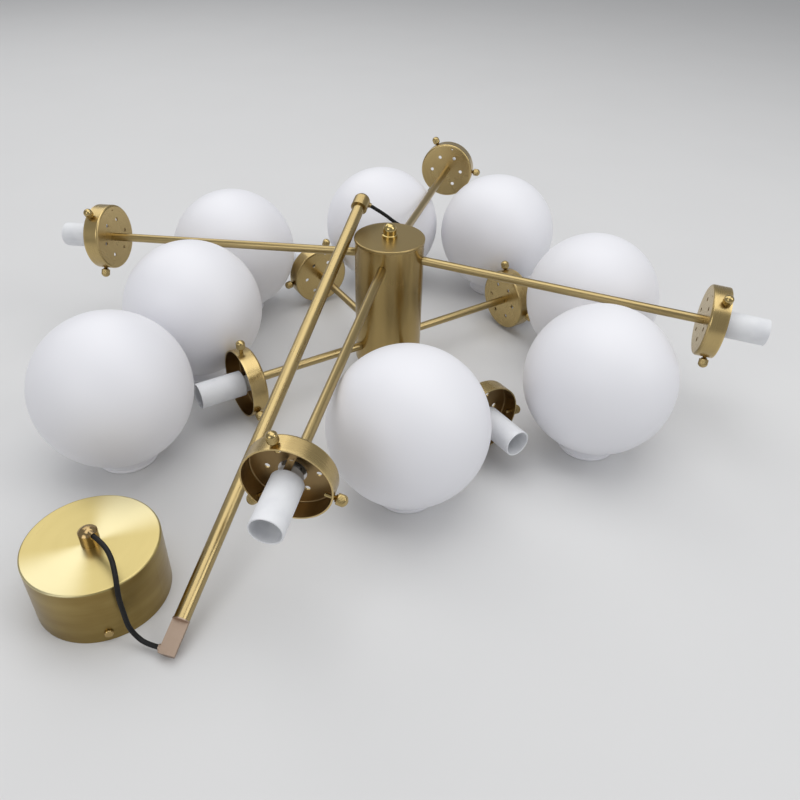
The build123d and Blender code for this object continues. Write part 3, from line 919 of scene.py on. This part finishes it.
CORD_RUNS = (
    CordRun("cord_from_canopy", "cord_canopy", 0.1246, (
        (-0.13894, -0.38997, 0.06921), (-0.1265, -0.3964, 0.0710), (-0.1144, -0.4064, 0.0705),
        (-0.1068, -0.4157, 0.0675), (-0.1023, -0.4227, 0.0620), (-0.1008, -0.4264, 0.0530),
        (-0.0999, -0.4275, 0.0430), (-0.0993, -0.4278, 0.0340), (-0.0976, -0.4294, 0.0225),
        (-0.0940, -0.4292, 0.0128), (-0.0854, -0.4306, 0.0064), (-0.07357, -0.43133, 0.00681),
    )),
    CordRun("cord_to_hub", "cord_hub", 0.2307, (
        (-0.03270, 0.04225, 0.17935), (-0.0180, 0.0465, 0.1700), (-0.0060, 0.0490, 0.1600),
        (0.0075, 0.0520, 0.1525), (0.0165, 0.0540, 0.1380), (0.0200, 0.0555, 0.1170),
        (0.0195, 0.0565, 0.0940), (0.0170, 0.0570, 0.0700), (0.0135, 0.0565, 0.0490),
        (0.0105, 0.0550, 0.0320), (0.0075, 0.0500, 0.0185), (0.0045, 0.0400, 0.0095),
        (0.0018, 0.0250, 0.0059), (0.00079, 0.01097, 0.00624),
    )),
)


# ---------------------------------------------------------------- the hub


@dataclass
class Hub:
    """The hub's shell, its plates, the acorn nut, the foot and what is inside."""

    top: float = 165.0
    rim_below_top: tuple[float, float] = (2.2, 0.6)
    shell: Brass = Brass(tone=(0.50, 0.375, 0.16), deep=(0.35, 0.245, 0.095), rough=0.19, grain=Grain.ALONG,
                         fine=1500.0, banding=0.4, line_depth=0.000006)
    cap: Brass = Brass(tone=(0.42, 0.315, 0.14), deep=(0.34, 0.245, 0.105), rough=0.30, fine=3000.0,
                       banding=0.3)
    acorn: Brass = Brass(tone=(0.55, 0.43, 0.185), deep=(0.47, 0.36, 0.145), rough=0.10, lines=0.032,
                         banding=0.2)
    plated: Steel = Steel()
    block: Moulded = Moulded(tone=(0.78, 0.78, 0.75), rough=0.3)

    def make(self) -> None:
        """Dresses the hub's nodes."""
        axis = upright()
        low, high = self.rim_below_top
        dress("hub_shell", self.shell.made("hub_shell_brass", axis))
        # The cap's top edge gets a painted highlight.
        dress("hub_top_plate", self.cap.made("hub_cap_brass", axis, rim=(self.top - low, self.top - high)))
        dress("hub_bottom_plate", self.cap.made("hub_base_brass", axis))
        dress("hub_foot", self.shell.made("hub_foot_brass", axis))
        dress("finial_nut", self.acorn.made("acorn_brass", axis))
        steel = self.plated.made("plated_steel")
        for node in ("hub_stem", "lock_nuts", "canopy_crossbar"):
            dress(node, steel)
        dress("terminal_blocks", self.block.made("terminal_plastic"))


# ---------------------------------------------------------------- arms


@dataclass
class Arm:
    """One arm with its cup, thumbscrews and sleeve."""

    name: str
    height: float
    length: float
    droop: float
    bearing: float
    first_screw: float
    backed_out: float = 0.0
    cup_depth: float = 18.0
    cup_radius: float = 36.6
    cup_wall: float = 1.4
    rim_width: float = 3.0
    screws: int = 3
    screw_from_mouth: float = 6.0
    tube: Brass = Brass(tone=(0.46, 0.355, 0.17), deep=(0.37, 0.275, 0.12), rough=0.26, lines=0.048,
                        grain=Grain.ALONG, fine=2600.0, banding=0.1, line_depth=0.000001)
    cup: Brass = Brass(tone=(0.56, 0.43, 0.20), deep=(0.44, 0.32, 0.135), rough=0.22, fine=2400.0,
                       line_depth=0.00002)

    def axis(self) -> Place:
        """The arm's own axes: Z runs out along the arm and X to its top.

        Returns:
            The axes, with their origin in the hub.
        """
        b, d = math.radians(self.bearing), math.radians(self.droop)
        out = np.array([math.cos(b) * math.cos(d), math.sin(b) * math.cos(d), -math.sin(d)])
        up = np.array([math.cos(b) * math.sin(d), math.sin(b) * math.sin(d), math.cos(d)])
        return Place(np.array([0.0, 0.0, self.height * MM]), up, np.cross(out, up), out)

    def cup_place(self) -> Place:
        """The cup's axes: the same, moved out to the back of the cup."""
        return self.axis().moved(0.0, 0.0, self.length * MM)

    def screw_place(self, number: int) -> Place:
        """The axes of one of the three thumbscrews: Z runs outwards from the cup's axis.

        Args:
            number: 0 for the screw that moves, 1 and 2 for the others.

        Returns:
            The axes, with their origin on the cup's axis.
        """
        cup = self.cup_place().moved(0.0, 0.0, (self.cup_depth - self.screw_from_mouth) * MM)
        turned = cup.turned(self.first_screw + 360.0 / self.screws * number)
        start = turned.moved(self.backed_out * MM, 0.0, 0.0) if number == 0 else turned
        return Place(start.origin, -start.z, start.y, start.x)

    def make(self) -> None:
        """Dresses the arm's nodes."""
        dress("arm_" + self.name, self.tube.made("arm_brass_" + self.name, self.axis()))
        # The cup's mouth rim gets a painted highlight and its inside painted shade.
        rim = (self.cup_depth - self.rim_width, self.cup_depth)
        inside = Hollow(self.cup_radius - self.cup_wall, self.cup_wall)
        finish = self.cup.made("cup_brass_" + self.name, self.cup_place(), rim=rim, shaded_hollow=inside)
        dress("gallery_" + self.name, finish)


@dataclass(frozen=True)
class Thumbscrew:
    """A knurled thumbscrew with a domed head, along Z from the cup's axis."""

    tip: float = 28.8
    shank: float = 2.0
    collar_from: float = 37.6
    collar_to: float = 38.8
    collar: float = 3.1
    barrel: float = 5.9
    head: float = 4.75
    head_end: float = 47.8
    barrel_steps: int = 6
    dome_steps: int = 9
    chamfer: float = 0.5
    round_off: float = 0.1
    ribs: int = 30
    rib_depth: float = 0.28
    rib_steps: int = 4
    rib_end: float = 0.4
    thread_pitch: float = 0.7
    thread_depth: float = 0.22
    plain_end: float = 1.0

    def surface(self, place: Place) -> tuple[np.ndarray, np.ndarray]:
        """The screw as a turned surface whose barrel is cut by straight ribs.

        Formula: on the barrel the radius drops by the rib depth times the squared sine of half the rib count
        times the angle, and by rib_end of that at the barrel's first and last step. The shank's radius drops by
        the thread depth at every second step of its height.

        Args:
            place: Axes of the screw.

        Returns:
            Points and quads.
        """
        barrel_from, barrel_to = self.collar_to + self.chamfer, self.collar_to + self.barrel
        rise = self.head_end - barrel_to
        ball = (self.head**2 + rise**2) / (2 * rise)
        reach = math.asin(min(1.0, self.head / ball))
        thread = np.arange(self.tip + self.chamfer, self.collar_from - self.plain_end, self.thread_pitch / 2)
        outline = [(0.0, self.tip), (self.shank - self.chamfer, self.tip)]
        outline += [(self.shank - self.thread_depth * (i % 2), float(h)) for i, h in enumerate(thread)]
        outline += [(self.shank, self.collar_from), (self.collar, self.collar_from)]
        outline += [(self.collar, self.collar_to), (self.head - self.chamfer, self.collar_to)]
        outline += [(self.head - self.round_off, self.collar_to + self.chamfer / 2)]
        first = len(outline)
        outline += [(self.head, float(h)) for h in np.linspace(barrel_from, barrel_to, self.barrel_steps)]
        last = len(outline) - 1
        for a in np.linspace(reach, 0.0, self.dome_steps)[1:]:
            outline.append((ball * math.sin(a), self.head_end - ball * (1 - math.cos(a))))
        ease = np.zeros(len(outline))
        ease[first:last + 1] = 1.0
        ease[[first, last]] = self.rib_end
        angle = np.arange(self.ribs * self.rib_steps) * TURN / (self.ribs * self.rib_steps)
        cut = np.sin(self.ribs * angle / 2) ** 2
        return turned_surface(np.array(outline), place, self.rib_depth * ease[:, None] * cut[None, :])


@dataclass
class ArmSet:
    """The eight arms, their thumbscrews, lampholders and sleeves."""

    upper_height: float = 145.3
    lower_height: float = 38.3
    upper_length: float = 332.8
    lower_length: float = 169.3
    upper_droop: float = 3.9
    lower_droop: float = -0.8
    screw: Thumbscrew = Thumbscrew()
    screw_brass: Brass = Brass(tone=(0.52, 0.40, 0.18), deep=(0.42, 0.31, 0.13), rough=0.15, lines=0.048,
                               fine=1800.0)
    white: Moulded = Moulded()
    holder: Moulded = Moulded(tone=(0.70, 0.70, 0.69), shade=(0.6, 0.6, 0.6), rough=0.4)
    strap: Steel = Steel(rough=0.12)
    arms: list[Arm] = field(default_factory=list)

    def __post_init__(self) -> None:
        """Lists the arms as they were screwed in."""
        upper = (("right", -2.2, 30.0), ("back", 89.4, -28.0), ("left", 180.0, 90.0), ("front", 271.2, 12.0))
        lower = (("right_back", 45.4, -20.0, 0.0), ("left_back", 135.2, 20.0, 0.0),
                 ("left_front", 226.5, 0.0, 4.0), ("right_front", 316.5, 20.0, 0.0))
        self.arms = [Arm("upper_" + n, self.upper_height, self.upper_length, self.upper_droop, b, t)
                     for n, b, t in upper]
        self.arms += [Arm("lower_" + n, self.lower_height, self.lower_length, self.lower_droop, b, t, out)
                      for n, b, t, out in lower]

    def make(self) -> None:
        """Makes the thumbscrews and dresses the rest."""
        for arm in self.arms:
            arm.make()
        polish = self.screw_brass.made("thumbscrew_brass", upright())
        fixed = join_surfaces(self.screw.surface(arm.screw_place(n)) for arm in self.arms for n in (1, 2))
        piece = new_mesh_piece("thumbscrews_knurled", *fixed)
        clothe(piece, polish, "frame")
        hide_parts("thumbscrews")
        for arm in self.arms:
            piece = new_mesh_piece("clamp_screw_knurled_" + arm.name, *self.screw.surface(arm.screw_place(0)))
            clothe(piece, polish, "clamp_screw_" + arm.name)
            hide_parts("clamp_screw_" + arm.name)
        white = self.white.made("sleeve_plastic")
        for arm in self.arms:
            dress("sleeve_" + arm.name, white)
        dress("lampholders", self.holder.made("holder_plastic"))
        dress("holder_straps", self.strap.made("bright_strip"))


# ---------------------------------------------------------------- globes


@dataclass
class Globes:
    """The eight opal balls that stand round the hub on their necks."""

    count: int = 8
    glass: OpalGlass = OpalGlass()

    def make(self) -> None:
        """Dresses the globes."""
        opal = self.glass.made("opal_glass")
        for number in range(1, self.count + 1):
            dress("globe_%d" % number, opal)


# ---------------------------------------------------------------- rod and canopy


@dataclass
class DropRod:
    """The rod that leans on the hub's cap, with its ferrule above and its cut fitting below."""

    foot: tuple[float, float, float] = (-64.8, -437.0, 8.0)
    along: tuple[float, float, float] = (0.04533806, 0.93643414, 0.34790165)
    tube: Brass = Brass(tone=(0.46, 0.355, 0.17), deep=(0.37, 0.275, 0.12), rough=0.24, lines=0.048,
                        grain=Grain.ALONG, fine=2400.0, banding=0.1, line_depth=0.000001)
    ferrule: Brass = Brass(tone=(0.46, 0.35, 0.16), deep=(0.37, 0.27, 0.115), line_depth=0.00001)
    tongue: Steel = Steel(tone=(0.45, 0.345, 0.27), deep=(0.39, 0.29, 0.22), rough=0.32)

    def axis(self) -> Place:
        """The rod's axes: Z runs up along it.

        Returns:
            The axes, with their origin at the rod's foot.
        """
        z = unit(self.along)
        x = unit(np.array([1.0, 0, 0]) - z * z[0])
        return Place(np.array(self.foot) * MM, x, np.cross(z, x), z)

    def make(self) -> None:
        """Dresses the rod's nodes."""
        axis = self.axis()
        dress("rod_tube", self.tube.made("rod_brass", axis))
        dress("rod_upper_ferrule", self.ferrule.made("ferrule_brass", axis))
        dress("rod_lower_fitting", self.tongue.made("cut_fitting"))


@dataclass
class Canopy:
    """The ceiling canopy that stands on its rim, with its cord grip and side screws."""

    place: tuple[float, float] = (-147.4, -385.6)
    height: float = 56.0
    # The bearing of the painted highlight fan on the top plate.
    highlight_fan_bearing: float = 75.0
    plate_below_top: float = 1.2
    spun: Brass = Brass(tone=(0.56, 0.46, 0.20), deep=(0.47, 0.375, 0.15), rough=0.24, lines=0.128,
                        fine=1500.0, line_depth=0.00005)
    grip: Brass = Brass(tone=(0.46, 0.33, 0.155), deep=(0.34, 0.235, 0.11), rough=0.15, lines=0.048)
    side_screw: Brass = Brass(rough=0.12, lines=0.032)

    def make(self) -> None:
        """Dresses the canopy's nodes."""
        axis = upright(*self.place).turned(self.highlight_fan_bearing)
        # The top plate gets a painted highlight fan and the side below it painted shade.
        plate = TopPlate(self.height - self.plate_below_top)
        dress("canopy_shell", self.spun.made("canopy_brass", axis, plate=plate))
        dress("canopy_cord_grip", self.grip.made("cord_grip_brass", axis))
        dress("canopy_side_screws", self.side_screw.made("side_screw_brass", axis))


def main() -> None:
    """Builds the view, the cords and each sub-assembly in order."""
    logging.basicConfig(level=logging.INFO, format="%(name)s: %(message)s")
    bpy.context.scene.view_settings.view_transform = "Standard"
    Viewpoint().make()
    sheath = CordSheath().made("cord_sheath")
    for run in CORD_RUNS:
        run.make(sheath)
    for group in (Hub(), ArmSet(), Globes(), DropRod(), Canopy()):
        group.make()
    Studio().make()


if __name__ == "__main__":
    main()
